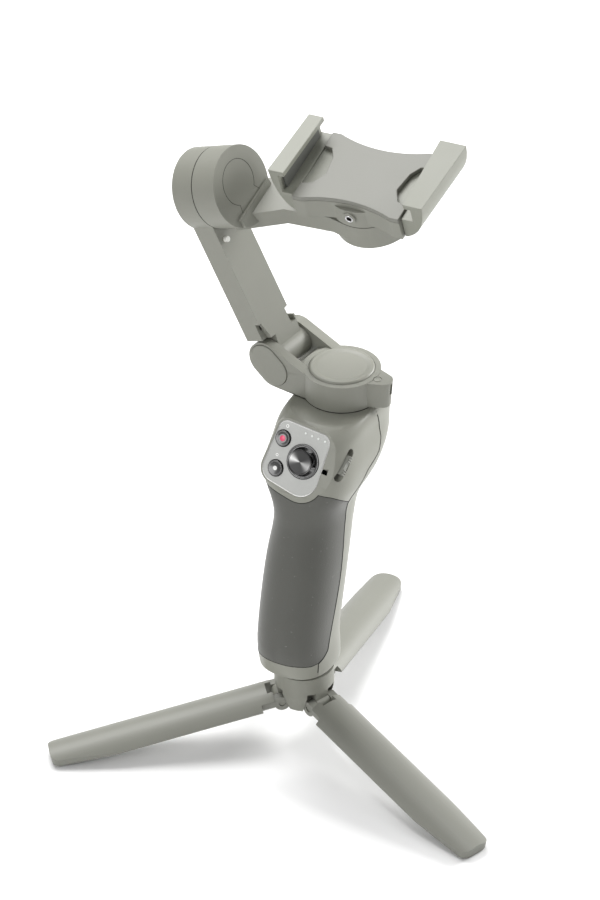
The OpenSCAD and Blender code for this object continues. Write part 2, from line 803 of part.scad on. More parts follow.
module roll_arm() color(grey) {
    difference() {
        union() {
            in_tilt() translate([rear_depth + seam, 0, 0]) rotate([0, 90, 0])
                cylinder(r = tilt_radius, h = tilt_thickness - rear_depth - seam);
            in_clamp() translate([0, 0, roll_low]) cylinder(r = roll_radius, h = roll_top - roll_low);
            in_clamp() translate([0, 0, roll_top - 0.1 - plate_thickness])
                linear_extrude(plate_thickness) roll_arm_outline();
            roll_arm_foot();
        }
        in_tilt() translate([rear_depth, 0, 0]) rotate([0, 90, 0])
            cylinder(r = housing_inner, h = tilt_thickness - rear_depth - motor_wall);
        in_clamp() translate([0, 0, roll_low + motor_wall]) cylinder(r = housing_inner, h = 30);
    }
}

// plan of the bent plate, from the tilt motor's face to the roll housing
module roll_arm_outline() {
    start = -clamp_reach - 2.5;
    front = -clamp_side - 8.8;
    polygon([
        [start, front], [-clamp_reach + 18, -clamp_side + 1.6],
        [-clamp_reach + 40, -clamp_side + 2.6], [-4, -roll_radius + 0.4],
        [-4, roll_radius - 0.4], [-clamp_reach + 20, -clamp_side + 24], [start, -clamp_side + 15]]);
}

// block that carries the plate on the tilt housing
module roll_arm_foot() in_tilt()
    intersection() {
        translate([tilt_thickness - 6, 0, 0]) rotate([0, 90, 0]) cylinder(r = tilt_radius, h = 8);
        block([0, -12, -20], [tilt_thickness + 1.4, 14, -9]);
    }

module roll_cover() color(pale) in_clamp()
    translate([0, 0, roll_low - 0.8]) cylinder(r = roll_radius - 3, h = 0.8);

// ---- roll axis ----

roll_motor_low = roll_low + motor_wall;
clamp_bottom = -12;
roll_motor_height = clamp_bottom - roll_motor_low;
module in_roll_motor() in_clamp() translate([0, 0, roll_motor_low]) children();
module roll_stator() in_roll_motor() motor_stator(roll_motor_height);
module roll_bearings() in_roll_motor() motor_bearings(roll_motor_height);
module roll_rotor() in_roll_motor() motor_rotor(roll_motor_height);
module roll_shaft() in_roll_motor() motor_shaft(roll_motor_height);

// ---- phone clamp ----

cover_thickness = 2.2;
waist = 4;
waist_radius = 60;
body_wall = 1.8;
rack_half = 2;
rack_low = -9.8;
rack_high = -4.2;
pinion_radius = 5;
pinion_teeth = 10;
tooth_pitch = 2 * PI * pinion_radius / pinion_teeth;
rack_back = pinion_radius + 1.2;
tongue_inner = 15;
tongue_half = 12;
tongue_low = rack_high + gap;

module platform_outline(inset) difference() {
    square([platform_length - 2 * inset, platform_width - 2 * inset], center = true);
    for (side = [-1, 1])
        translate([0, side * (platform_width / 2 - waist - inset + waist_radius)])
            circle(r = waist_radius, $fn = 180);
}

pinion_bore = 1.5;
module clamp_body() color(grey) in_clamp() {
    clamp_tray();
    // post that the pinion turns on
    translate([0, 0, clamp_bottom + 0.5]) cylinder(r = pinion_bore - run, h = 7.4);
}

module clamp_tray() difference() {
    union() {
        translate([0, 0, clamp_bottom])
            linear_extrude(-clamp_bottom - cover_thickness) platform_outline(0);
        translate([0, 0, roll_top + 0.4])
            cylinder(r = roll_radius, h = -cover_thickness - 2 - roll_top - 0.4);
        translate([0, -14, -8]) rotate([90, 0, 0]) cylinder(r = 3, h = 5);
    }
    translate([0, 0, clamp_bottom + body_wall])
        linear_extrude(20) platform_outline(body_wall);
    translate([0, 0, roll_top - 1]) cylinder(r = housing_inner, h = clamp_bottom - roll_top + 1);
    // ways for the two slides and their tongues
    for (side = [-1, 1])
        block([side > 0 ? 20 : -40, -tongue_half - gap, tongue_low - gap],
              [side > 0 ? 40 : -20, tongue_half + gap, 0]);
    for (side = [-1, 1])
        block([side > 0 ? 10 : -40, side > 0 ? -rack_back - 4.3 : rack_back - 0.3, rack_low - 0.3],
              [side > 0 ? 40 : -10, side > 0 ? -rack_back + 0.3 : rack_back + 4.3, rack_high + 0.3]);
    translate([0, -10, -8]) rotate([90, 0, 0]) cylinder(r = 1.7, h = 12);
}

module clamp_cover() color(dark) in_clamp()
    translate([0, 0, -cover_thickness]) linear_extrude(cover_thickness) difference() {
        platform_outline(0);
        // windows over the tongues
        for (side = [-1, 1])
            polygon([
                [side * (platform_length / 2 + 1), -12], [side * 21, -10], [side * 17.5, -4],
                [side * 19, 6], [side * 22, 11], [side * (platform_length / 2 + 1), 11.5]]);
    }

module thread_insert() color(steel) in_clamp()
    translate([0, -14, -8]) rotate([90, 0, 0]) tube(1.7, 1.25, 0, 5.1);

module clamp_pinion() color([0.9, 0.9, 0.86]) in_clamp()
    translate([0, 0, rack_low]) {
        difference() {
            cylinder(r = pinion_radius - 1.1, h = rack_high - rack_low);
            translate([0, 0, -1]) cylinder(r = pinion_bore, h = 20);
        }
        for (i = [0:pinion_teeth - 1])
            rotate([0, 0, 360 * i / pinion_teeth])
            linear_extrude(rack_high - rack_low)
            polygon([[3, -0.6], [pinion_radius + 0.7, -0.3], [pinion_radius + 0.7, 0.3], [3, 0.6]]);
    }

// half of the clamp, drawn for the right jaw: wall, shelf, slide and rack
jaw_front = -18;
jaw_rear = 20;
jaw_inner = jaw_gap / 2 + 1;     // wall behind the pad
lip_reach = 3.2;
lip_thickness = 2.4;
shelf_top = -1.4;
// outer face and top of each jaw at its front and rear end
left_ends = [[jaw_gap / 2 + 5.5, jaw_height + 1.5], [jaw_gap / 2 + 5, jaw_height - 1]];
right_ends = [[jaw_gap / 2 + 7, jaw_height - 1.5], [jaw_gap / 2 + 10.5, jaw_height + 0.5]];
module jaw(side, ends) in_clamp() mirror([side > 0 ? 0 : 1, 0, 0]) {
    difference() {
        hull() for (end = [0, 1]) at_jaw_end(end) jaw_section(ends[end]);
        block([0, -50, shelf_top], [jaw_inner, 50, 50]);
    }
    hull() for (end = [0, 1]) at_jaw_end(end)
        translate([jaw_inner - lip_reach, ends[end][1] - lip_thickness])
        square([lip_reach + 1, lip_thickness]);
    // tongue that runs in under the cover
    block([tongue_inner, -tongue_half, tongue_low],
          [platform_length / 2 + 1, tongue_half, -cover_thickness - 0.2]);
    slide_y = side > 0 ? -rack_back : rack_back;
    outward = side > 0 ? -4 : 4;
    near = min(slide_y, slide_y + outward);
    block([-tooth_pitch * 5 - 1.5, near, rack_low], [platform_length / 2 + 2, near + 4, rack_high]);
    for (i = [-5:1])
        translate([tooth_pitch * i, slide_y, rack_low])
        linear_extrude(rack_high - rack_low)
        polygon(side > 0 ? [[-0.6, -0.2], [0.6, -0.2], [0.3, 1.9], [-0.3, 1.9]]
                         : [[-0.6, 0.2], [-0.3, -1.9], [0.3, -1.9], [0.6, 0.2]]);
}

// the end slices of a jaw, seen along the phone
module at_jaw_end(end) translate([0, end > 0 ? jaw_rear : jaw_front + 0.5, 0])
    rotate([90, 0, 0]) linear_extrude(0.5) children();

// the outer face bulges from the foot of the platform's end up to the rim
module jaw_section(at) {
    foot = [platform_length / 2 + 1.2, clamp_bottom];
    bulge = [at[0] - 1, clamp_bottom + 4.5];
    polygon(concat(
        [[platform_length / 2 + gap, at[1]], [platform_length / 2 + gap, clamp_bottom]],
        [for (t = [0:0.125:1]) (1 - t) * (1 - t) * foot + 2 * t * (1 - t) * bulge + t * t * at]));
}

module left_jaw() color(grey) jaw(-1, left_ends);
module right_jaw() color(grey) jaw(1, right_ends);

module jaw_pad(side) color(dark) in_clamp()
    block([side > 0 ? jaw_gap / 2 : -jaw_inner, jaw_front + 3, shelf_top],
          [side > 0 ? jaw_inner : -jaw_gap / 2, jaw_rear - 3, jaw_height - 4.2]);
module left_pad() jaw_pad(-1);
module right_pad() jaw_pad(1);

module clamp_springs() color(steel) in_clamp()
    for (y = [-12, 12])
        translate([-9, y, -8.4]) rotate([0, 90, 0]) coil(1.15, 0.25, 6, 18);

// ---- selection ----

tripod_hub();
tripod_stud();
leg_pins();
leg(0);  // leg_1
leg(1);  // leg_2
leg(2);  // leg_3
leg_foot(0);  // leg_foot_1
leg_foot(1);  // leg_foot_2
leg_foot(2);  // leg_foot_3
front_shell();
rear_shell();
grip_cover();
base_plate();
socket_insert();
battery_cells();
main_board();
control_panel();
status_lights();
joystick_module();
joystick_gimbal();
joystick_cap();
record_button();
mode_button();
zoom_slider();
trigger();
trigger_pin();
trigger_spring();
usb_c_port();
usb_a_port();
pan_stator();
pan_bearings();
pan_rotor();
pan_shaft();
yoke();
pan_cap();
hinge_pin();
ear_caps();
arm_shell();
arm_cover();
arm_ribbon();
latch_pin();
tilt_stator();
tilt_bearings();
tilt_rotor();
tilt_shaft();
roll_arm();
roll_stator();
roll_bearings();
roll_rotor();
roll_shaft();
roll_cover();
clamp_body();
clamp_cover();
thread_insert();
clamp_pinion();
left_jaw();
right_jaw();
left_pad();
right_pad();
clamp_springs();
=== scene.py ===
import math
import bmesh
import bpy
from mathutils import Matrix, Vector
from mathutils.bvhtree import BVHTree


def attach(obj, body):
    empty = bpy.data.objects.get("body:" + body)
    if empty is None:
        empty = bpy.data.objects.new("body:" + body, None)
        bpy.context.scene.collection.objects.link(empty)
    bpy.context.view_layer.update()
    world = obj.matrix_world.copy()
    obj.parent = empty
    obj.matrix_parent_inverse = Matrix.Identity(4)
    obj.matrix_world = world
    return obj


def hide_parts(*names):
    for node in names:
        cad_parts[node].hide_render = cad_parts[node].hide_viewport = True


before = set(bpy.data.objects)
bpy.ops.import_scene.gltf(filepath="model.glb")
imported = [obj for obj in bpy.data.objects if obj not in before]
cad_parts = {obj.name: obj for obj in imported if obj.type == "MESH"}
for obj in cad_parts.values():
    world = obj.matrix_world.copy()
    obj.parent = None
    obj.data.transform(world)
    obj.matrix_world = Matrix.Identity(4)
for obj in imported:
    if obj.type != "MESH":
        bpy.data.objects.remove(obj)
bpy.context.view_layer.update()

# ---- Where things are -------------------------------------------------------
# The gimbal is a chain of frames: handle, pan motor, folding arm, tilt motor and
# phone clamp. Each one is placed from the one before it, in millimetres.


def at(x, y, z):
    return Matrix.Translation((x / 1000, y / 1000, z / 1000))


def turned_by(axis, degrees):
    return Matrix.Rotation(math.radians(degrees), 4, axis)


base = at(-8.5, -19.5, 0)
panel_place = base @ at(0, -8.6, 134) @ turned_by("X", 62.5)
slider_place = base @ at(18.9, 5.2, 151.1) @ turned_by("Z", -7) @ turned_by("X", -49) @ turned_by("Y", 90)
pan_place = base @ at(0, 37.7, 178.5) @ turned_by("Z", -6.5)
arm_place = pan_place @ at(-30, 0, -1.3) @ turned_by("Y", -21) @ turned_by("X", 8.5)
tilt_place = arm_place @ at(-6.8, 0, 86) @ turned_by("X", 10.6)
clamp_place = tilt_place @ at(24.3, 0, 0) @ turned_by("Y", 19) @ at(52.8, 18.4, 3.2)

# ---- Camera and studio ------------------------------------------------------
# A long lens looks down on the part from its front right. The floor is a plain
# pale sweep, lit by the room and three soft boxes.

azimuth, elevation, roll = math.radians(29.466), math.radians(34.572), math.radians(-0.744)
distance, aim_side, aim_height = 1.712553, -0.000594, 0.156478
back = Vector((math.sin(azimuth) * math.cos(elevation), -math.cos(azimuth) * math.cos(elevation),
               math.sin(elevation)))
level = Vector((math.cos(azimuth), math.sin(azimuth), 0))
upward = back.cross(level)
right = level * math.cos(roll) + upward * math.sin(roll)
up = upward * math.cos(roll) - level * math.sin(roll)
eye = level * aim_side + Vector((0, 0, aim_height)) + back * distance + base.translation
camera = bpy.data.objects.new("camera", bpy.data.cameras.new("camera"))
bpy.context.scene.collection.objects.link(camera)
camera.matrix_world = Matrix((
    (right.x, up.x, back.x, eye.x), (right.y, up.y, back.y, eye.y),
    (right.z, up.z, back.z, eye.z), (0, 0, 0, 1)))
camera.data.sensor_width = 36
camera.data.lens = 3892.312 / 900 * 36
camera.data.clip_end = 20
bpy.context.scene.camera = camera
bpy.context.scene.view_settings.view_transform = "Standard"


def soft_box(name, place, size, power, target=(0, 0, 0.16)):
    lamp = bpy.data.lights.new(name, "AREA")
    lamp.size = size
    lamp.energy = power
    box = bpy.data.objects.new(name, lamp)
    bpy.context.scene.collection.objects.link(box)
    box.location = place
    box.rotation_euler = (Vector(target) - Vector(place)).to_track_quat("-Z", "Y").to_euler()


soft_box("key_light", (-0.7, 0.5, 1.6), 1.0, 30)
soft_box("rim_light", (0.9, 1.6, 0.9), 0.8, 44)
soft_box("front_light", (-0.5, -1.6, 0.9), 0.7, 9)
world = bpy.data.worlds.new("studio")
world.use_nodes = True
world.node_tree.nodes["Background"].inputs["Color"].default_value = (1, 1, 1, 1)
world.node_tree.nodes["Background"].inputs["Strength"].default_value = 0.5
bpy.context.scene.world = world


# ---- Finishes ---------------------------------------------------------------
# Wire wraps one output of a node, and arithmetic on it adds Math nodes.
# Finish is one material: node() makes any other node, feed() drives a shader socket.


class Wire:
    def __init__(self, finish, socket):
        self.finish = finish
        self.socket = socket

    def _math(self, operation, first, second):
        return self.finish.node("ShaderNodeMath", {"operation": operation}, {0: first, 1: second})

    def __add__(self, other):
        return self._math("ADD", self, other)

    def __sub__(self, other):
        return self._math("SUBTRACT", self, other)

    def __rsub__(self, other):
        return self._math("SUBTRACT", other, self)

    def __mul__(self, other):
        return self._math("MULTIPLY", self, other)

    __radd__ = __add__
    __rmul__ = __mul__


class Finish:
    def __init__(self, name, **constants):
        self.material = bpy.data.materials.new(name)
        self.material.use_nodes = True
        self.tree = self.material.node_tree
        self.shader = self.tree.nodes["Principled BSDF"]
        for socket, value in constants.items():
            self.shader.inputs[socket.replace("_", " ")].default_value = value

    def plug(self, socket, value):
        if isinstance(value, Wire):
            self.tree.links.new(value.socket, socket)
        else:
            socket.default_value = value

    def node(self, kind, settings, inputs, output=0):
        made = self.tree.nodes.new(kind)
        for key, value in settings.items():
            if key == "stops":
                for stop, (position, colour) in zip(made.color_ramp.elements, value):
                    stop.position = position
                    stop.color = colour
            else:
                setattr(made, key, value)
        for key, value in inputs.items():
            self.plug(made.inputs[key], value)
        return Wire(self, made.outputs[output])

    def place(self):
        return self.node("ShaderNodeTexCoord", {}, {}, "Object")

    def noise(self, scale, detail=2.0, stretch=None):
        where = self.place()
        if stretch:
            where = self.node("ShaderNodeVectorMath", {"operation": "MULTIPLY"}, {0: where, 1: stretch})
        return self.node("ShaderNodeTexNoise", {}, {"Vector": where, "Scale": scale, "Detail": detail})

    def mix(self, mask, first, second):
        return self.node("ShaderNodeMix", {"data_type": "RGBA"}, {0: mask, 6: first, 7: second}, 2)

    def stepped(self, value, low, high):
        return self.node("ShaderNodeMapRange", {}, {0: value, 1: low, 2: high})

    def feed(self, socket, value):
        self.plug(self.shader.inputs[socket], value)

    def bumped(self, height, depth, strength=1.0):
        self.feed("Normal", self.node(
            "ShaderNodeBump", {}, {"Height": height, "Distance": depth, "Strength": strength}, "Normal"))


def shade(colour, factor):
    return tuple(min(1, c * factor) for c in colour[:3]) + (1,)


def moulded(name, colour, roughness, grain=2600, depth=0.00004, spread=0.05, coat=0.0):
    """Moulded plastic: an etched grain in the tool, faint flow mottling and handling polish."""
    finish = Finish(name, Specular_IOR_Level=0.45, Coat_Weight=coat, Coat_Roughness=0.25)
    mottle = finish.noise(38, 4)
    etch = finish.noise(grain, 3)
    dust = finish.stepped(finish.noise(900, 2), 0.66, 0.78)
    tone = finish.mix(mottle, shade(colour, 1 - spread), shade(colour, 1 + spread))
    tone = finish.mix(finish.stepped(etch, 0.3, 0.75) * 0.35, tone, shade(colour, 1 + 1.5 * spread))
    finish.feed("Base Color", finish.mix(dust * 0.12, tone, shade(colour, 1.25)))
    finish.feed("Roughness", roughness - 0.06 + mottle * 0.08 + etch * 0.05)
    finish.bumped(etch, depth, 0.6)
    return finish.material


def machined(name, colour, roughness, stretch=(1, 1, 14), depth=0.00002, metallic=1.0):
    """Metal with fine tool lines and slightly uneven shine."""
    finish = Finish(name, Metallic=metallic)
    lines = finish.noise(900, 3, stretch)
    cloud = finish.noise(60, 3)
    finish.feed("Base Color", finish.mix(cloud, shade(colour, 0.9), shade(colour, 1.08)))
    finish.feed("Roughness", roughness - 0.07 + lines * 0.12 + cloud * 0.04)
    finish.bumped(lines, depth, 0.5)
    return finish.material


def edge_rule():
    """A modifier tree that shades smooth and keeps the edges that turn more than 32 degrees sharp."""
    tree = bpy.data.node_groups.new("crisp_edges", "GeometryNodeTree")
    tree.interface.new_socket("Geometry", in_out="INPUT", socket_type="NodeSocketGeometry")
    tree.interface.new_socket("Geometry", in_out="OUTPUT", socket_type="NodeSocketGeometry")
    source = tree.nodes.new("NodeGroupInput")
    angle = tree.nodes.new("GeometryNodeInputMeshEdgeAngle")
    over = tree.nodes.new("FunctionNodeCompare")
    over.inputs[1].default_value = math.radians(32)
    smooth = tree.nodes.new("GeometryNodeSetShadeSmooth")
    keep = tree.nodes.new("GeometryNodeStoreNamedAttribute")
    keep.data_type = "BOOLEAN"
    keep.domain = "EDGE"
    keep.inputs["Name"].default_value = "sharp_edge"
    sink = tree.nodes.new("NodeGroupOutput")
    tree.links.new(source.outputs[0], smooth.inputs["Geometry"])
    tree.links.new(angle.outputs["Unsigned Angle"], over.inputs[0])
    tree.links.new(smooth.outputs[0], keep.inputs["Geometry"])
    tree.links.new(over.outputs[0], keep.inputs["Value"])
    tree.links.new(keep.outputs[0], sink.inputs[0])
    return tree


crisp_edges = edge_rule()


def soften(thing, edge):
    """Rounds the edges of a moulding by so many millimetres, as a mould's edges are."""
    weld = thing.modifiers.new("weld", "WELD")
    weld.merge_threshold = 0.000002
    if edge:
        flat = thing.modifiers.new("flat", "DECIMATE")
        flat.decimate_type = "DISSOLVE"
        flat.angle_limit = math.radians(0.4)
        bevel = thing.modifiers.new("edge", "BEVEL")
        bevel.width = edge / 1000
        bevel.segments = 3
        bevel.limit_method = "ANGLE"
        bevel.angle_limit = math.radians(34)
        bevel.miter_outer = "MITER_ARC"
    thing.modifiers.new("shading", "NODES").node_group = crisp_edges
    even = thing.modifiers.new("even", "WEIGHTED_NORMAL")
    even.keep_sharp = True


def dress(names, material, edge=0.0):
    for name in names.split():
        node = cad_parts[name]
        if "custom_normal" in node.data.attributes:
            node.data.attributes.remove(node.data.attributes["custom_normal"])
        node.data.materials.clear()
        node.data.materials.append(material)
        soften(node, edge)


def piece(name, points, faces, place, body, material, edge=0.0):
    """A made piece: points in millimetres in its own frame."""
    mesh = bpy.data.meshes.new(name)
    mesh.from_pydata([(x / 1000, y / 1000, z / 1000) for x, y, z in points], [], faces)
    thing = bpy.data.objects.new(name, mesh)
    bpy.context.scene.collection.objects.link(thing)
    thing.matrix_world = place
    tidy = bmesh.new()
    tidy.from_mesh(mesh)
    bmesh.ops.recalc_face_normals(tidy, faces=tidy.faces)
    tidy.to_mesh(mesh)
    tidy.free()
    mesh.materials.append(material)
    soften(thing, edge)
    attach(thing, body)
    return thing


def lathe(name, profile, place, body, material, steps=72):
    """Turns a closed profile of (radius, height) round the Z axis of its frame."""
    count = len(profile)
    points = [(r * math.cos(2 * math.pi * k / steps), r * math.sin(2 * math.pi * k / steps), z)
              for k in range(steps) for r, z in profile]
    faces = [(k * count + i, ((k + 1) % steps) * count + i,
              ((k + 1) % steps) * count + (i + 1) % count, k * count + (i + 1) % count)
             for k in range(steps) for i in range(count)]
    return piece(name, points, faces, place, body, material)


def ring(outer, inner, low, high, rounding=0.12):
    """Profile of a flat ring with eased corners."""
    r = rounding
    return [(inner, low + r), (inner + r, low), (outer - r, low), (outer, low + r),
            (outer, high - r), (outer - r, high), (inner + r, high), (inner, high - r)]


def button_profile(radius, low, high, dish, rim):
    """Profile of a round key with a dished top, closed on its axis."""
    crown = [(radius - rim * (1 - math.cos(a)), high - rim * (1 - math.sin(a)))
             for a in [math.pi / 2 * k / 5 for k in range(6)]]
    bowl = [(radius - rim * 1.1 - (radius - rim * 1.1) * k / 7,
             high - dish * math.sin(math.pi / 2 * k / 7)) for k in range(1, 7)]
    return [(0.01, low), (radius, low)] + crown + bowl + [(0.01, high - dish)]


# ---- Handle shells ----------------------------------------------------------
# Two half shells of pale olive-grey moulded plastic meet on a seam down each side.
# They carry the flat brow for the panel and the collar under the pan motor.

olive = (0.222, 0.224, 0.192, 1)
pale_olive = (0.245, 0.247, 0.212, 1)
body_plastic = moulded("body_plastic", olive, 0.46)
head_plastic = moulded("head_plastic", pale_olive, 0.42)
dress("front_shell rear_shell", head_plastic)
# A near-black finish of painted shade: lines and rings made of it stand in the seams and gaps where shade falls.
shadow_finish = Finish("painted_gap_shade", Specular_IOR_Level=0.2)
shadow_finish.feed("Base Color", shadow_finish.mix(
    shadow_finish.noise(700, 2), (0.012, 0.012, 0.011, 1), (0.03, 0.03, 0.027, 1)))
shadow_finish.feed("Roughness", shadow_finish.noise(300, 2) * 0.2 + 0.7)
painted_gap_shade = shadow_finish.material


def seam_strip(name, side_points, node, sides, radius, body, material):
    """A dark line of painted shade laid along a seam on a shell: points are (y, z) in the handle's own frame."""
    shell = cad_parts[node]
    surface = BVHTree.FromPolygons([v.co for v in shell.data.vertices],
                                   [p.vertices for p in shell.data.polygons])
    for side in sides:
        hits = []
        for (y0, z0), (y1, z1) in zip(side_points, side_points[1:]):
            for k in range(6):
                y = y0 + (y1 - y0) * k / 6
                z = z0 + (z1 - z0) * k / 6
                start = base @ Vector((side * 0.06, y / 1000, z / 1000))
                hit = surface.ray_cast(start, Vector((-side, 0, 0)))[0]
                if hit and (not hits or abs(hit.x - hits[-1].x) < 0.004):
                    hits.append(hit)
        curve = bpy.data.curves.new(name, "CURVE")
        curve.dimensions = "3D"
        line = curve.splines.new("POLY")
        line.points.add(len(hits) - 1)
        for point, hit in zip(line.points, hits):
            point.co = (*hit, 1)
        curve.bevel_depth = radius / 1000
        curve.bevel_resolution = 2
        strip = bpy.data.objects.new(name + ("_right" if side > 0 else "_left"), curve)
        bpy.context.scene.collection.objects.link(strip)
        curve.materials.append(material)
        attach(strip, body)


shell_seam = [(-14.2, 48), (-14.2, 53), (-10.8, 54.8), (-7.6, 57.2), (-6, 61.8), (-1.2, 75.3),
              (3.8, 89.7), (7.7, 104.6), (11, 118), (11.6, 127.4), (22, 139.5), (32, 143.5),
              (34.8, 150), (34.9, 157), (33.6, 162.5)]
seam_strip("shell_seam_shade", [(y - 0.3, z) for y, z in shell_seam], "front_shell", (1, -1), 0.2,
           "handle", painted_gap_shade)

# ---- Grip -------------------------------------------------------------------
# A soft-touch rubber skin is moulded over the front of the handle from the bottom
# band to under the panel. It is darker than the shells and finely pebbled.

grip_finish = Finish("soft_grip", Specular_IOR_Level=0.3, Sheen_Weight=0.25, Sheen_Roughness=0.5)
pebble = grip_finish.node("ShaderNodeTexVoronoi", {}, {"Vector": grip_finish.place(), "Scale": 1500})
haze = grip_finish.noise(45, 4)
speck = grip_finish.stepped(grip_finish.noise(650, 2), 0.70, 0.76)
tone = grip_finish.mix(haze, (0.082, 0.083, 0.074, 1), (0.102, 0.103, 0.092, 1))
grip_finish.feed("Base Color", grip_finish.mix(speck * 0.5, tone, (0.20, 0.20, 0.19, 1)))
grip_finish.feed("Roughness", haze * 0.1 + 0.58)
grip_finish.bumped(pebble, 0.00007, 0.45)
dress("grip_cover", grip_finish.material)

def edge_shade_bead(name, node, neighbours, radius, body, material):
    """A dark bead of painted shade along the outer edge of a skin, where it meets the shells around it."""
    skin = bmesh.new()
    skin.from_mesh(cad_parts[node].data)
    bmesh.ops.remove_doubles(skin, verts=skin.verts, dist=0.000002)
    points, polygons = [], []
    for other in (node, *neighbours):
        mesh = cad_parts[other].data
        polygons += [[len(points) + i for i in p.vertices] for p in mesh.polygons]
        points += [v.co.copy() for v in mesh.vertices]
    around = BVHTree.FromPolygons(points, polygons)
    curve = bpy.data.curves.new(name, "CURVE")
    curve.dimensions = "3D"
    for line in skin.edges:
        if len(line.link_faces) != 2 or line.calc_face_angle(0) < math.radians(50):
            continue
        middle = (line.verts[0].co + line.verts[1].co) / 2
        normals = [f.normal for f in line.link_faces]
        out = max(normals, key=lambda n: (n.x * middle.x + n.y * (middle.y - base.translation.y)))
        if around.ray_cast(middle + out * 0.0004, out)[0] is None:
            stretch = curve.splines.new("POLY")
            stretch.points.add(1)
            for point, corner in zip(stretch.points, line.verts):
                point.co = (*corner.co, 1)
    skin.free()
    curve.bevel_depth = radius / 1000
    curve.bevel_resolution = 1
    bead = bpy.data.objects.new(name, curve)
    bpy.context.scene.collection.objects.link(bead)
    curve.materials.append(material)
    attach(bead, body)


edge_shade_bead("grip_edge_shade", "grip_cover", ("front_shell", "rear_shell"), 0.16, "handle",
            painted_gap_shade)

# ---- Control panel ----------------------------------------------------------
# A satin silver-grey plate is glued into a pocket in the brow. Its edge is cut
# bright, and four small lights sit along its top edge.

panel_finish = Finish("panel_metal", Metallic=0.55, Specular_IOR_Level=0.5)
sparkle = panel_finish.noise(5200, 2)
drift = panel_finish.noise(70, 3)
tone = panel_finish.mix(drift, (0.29, 0.294, 0.282, 1), (0.34, 0.344, 0.332, 1))
panel_finish.feed("Base Color", panel_finish.mix(
    panel_finish.stepped(sparkle, 0.45, 0.8) * 0.4, tone, (0.46, 0.46, 0.45, 1)))
panel_finish.feed("Roughness", sparkle * 0.1 + 0.36)
panel_finish.bumped(sparkle, 0.00002, 0.5)
dress("control_panel", panel_finish.material)
panel_circles = [(-10, 30.2, 4.4), (7.4, 28.6, 4.4), (1, 11.8, 9), (-11.5, 12.4, 6.6)]


def outline_point(angle, grow):
    """Furthest point of the panel's outline in one direction."""
    c, s = math.cos(angle), math.sin(angle)
    x, y, r = max(panel_circles, key=lambda k: k[0] * c + k[1] * s + k[2])
    return x + (r + grow) * c, y + (r + grow) * s


def panel_loop(name, section, material, steps=160):
    """Sweeps a closed section of (grow, height) round the panel's outline."""
    points = [(*outline_point(2 * math.pi * k / steps, grow), z) for k in range(steps) for grow, z in section]
    count = len(section)
    faces = [(k * count + i, ((k + 1) % steps) * count + i,
              ((k + 1) % steps) * count + (i + 1) % count, k * count + (i + 1) % count)
             for k in range(steps) for i in range(count)]
    return piece(name, points, faces, panel_place, "handle", material)


bright_metal = machined("bright_edge", (0.80, 0.80, 0.78, 1), 0.24)
panel_loop("panel_bright_edge", [(-0.5, -0.3), (-0.5, 0.06), (-0.38, 0.12), (-0.05, 0.02), (0.05, -0.12),
                                 (0.05, -0.4)], bright_metal)
lamp_finish = Finish("status_lamp", Specular_IOR_Level=0.6)
lamp_finish.feed("Base Color", lamp_finish.mix(
    lamp_finish.noise(1500, 1), (0.72, 0.75, 0.72, 1), (0.9, 0.92, 0.88, 1)))
lamp_finish.feed("Roughness", lamp_finish.noise(800, 1) * 0.1 + 0.3)
dress("status_lights", lamp_finish.material)
print_white = moulded("print_white", (0.82, 0.82, 0.80, 1), 0.5, 4000, 0.00001)
for name, x, y, outer, inner in (("record_mark", -10.2, 31.9, 0.8, 0.38), ("mode_mark", -12.2, 18.2, 0.7, 0.36)):
    lathe(name, ring(outer, inner, -0.05, 0.05, 0.03), panel_place @ at(x, y, 0), "handle",
          print_white, 32)

# ---- Joystick ---------------------------------------------------------------
# A thumb stick with a spun metal top, cut in fine rings, stands in a black
# cup with a turned bezel. The bright sectors on the top are a painted highlight.
# It tips on a small steel gimbal inside.

gloss = Finish("black_gloss", Specular_IOR_Level=0.6, Coat_Weight=0.5, Coat_Roughness=0.12)
smudge = gloss.noise(160, 4)
gloss.feed("Base Color", gloss.mix(smudge, (0.016, 0.016, 0.016, 1), (0.034, 0.034, 0.033, 1)))
gloss.feed("Roughness", smudge * 0.16 + 0.2)
gloss.bumped(gloss.noise(2400, 2), 0.00001, 0.4)
black_gloss = gloss.material
dress("joystick_module", black_gloss)
stick_x, stick_y = 0.7, 18.5
stick_place = panel_place @ at(stick_x, stick_y, 0)
lathe("joystick_bezel", [(7.3, -1.2), (8.0, -1.2), (8.0, 0.0), (7.75, 0.42), (7.4, 0.5), (7.05, 0.42),
                         (6.8, -0.1), (6.75, -1.2)], stick_place, "handle", black_gloss)
spun = Finish("spun_metal_painted_highlight", Metallic=0.9)
# The top's colour is a painted highlight. It is bright in two opposite sectors about the stick's axis, standing
# in for the bow-tie sheen of the fine rings. Roughness drops with it.
across = spun.node("ShaderNodeSeparateXYZ", {}, {0: spun.place()}, 0)
along = spun.node("ShaderNodeSeparateXYZ", {}, {0: spun.place()}, 1)
turn_angle = spun.node("ShaderNodeMath", {"operation": "ARCTAN2"}, {0: along, 1: across})
painted_highlight_fan = spun.node("ShaderNodeMath", {"operation": "COSINE"}, {0: (turn_angle + 0.25) * 2.0})
painted_highlight_fan = spun.node("ShaderNodeMath", {"operation": "POWER"}, {0: painted_highlight_fan * 0.5 + 0.5, 1: 5.0})
spun.feed("Base Color", spun.mix(painted_highlight_fan, (0.055, 0.055, 0.055, 1), (0.36, 0.36, 0.355, 1)))
spun.feed("Roughness", 0.46 - painted_highlight_fan * 0.16 + spun.noise(300, 2) * 0.06)
spun.bumped(spun.noise(3000, 2), 0.00001, 0.4)
stick_top = [(5.5, 2.6), (5.8, 3.4), (5.75, 3.75), (5.45, 3.9), (5.25, 3.78), (5.15, 3.6)]
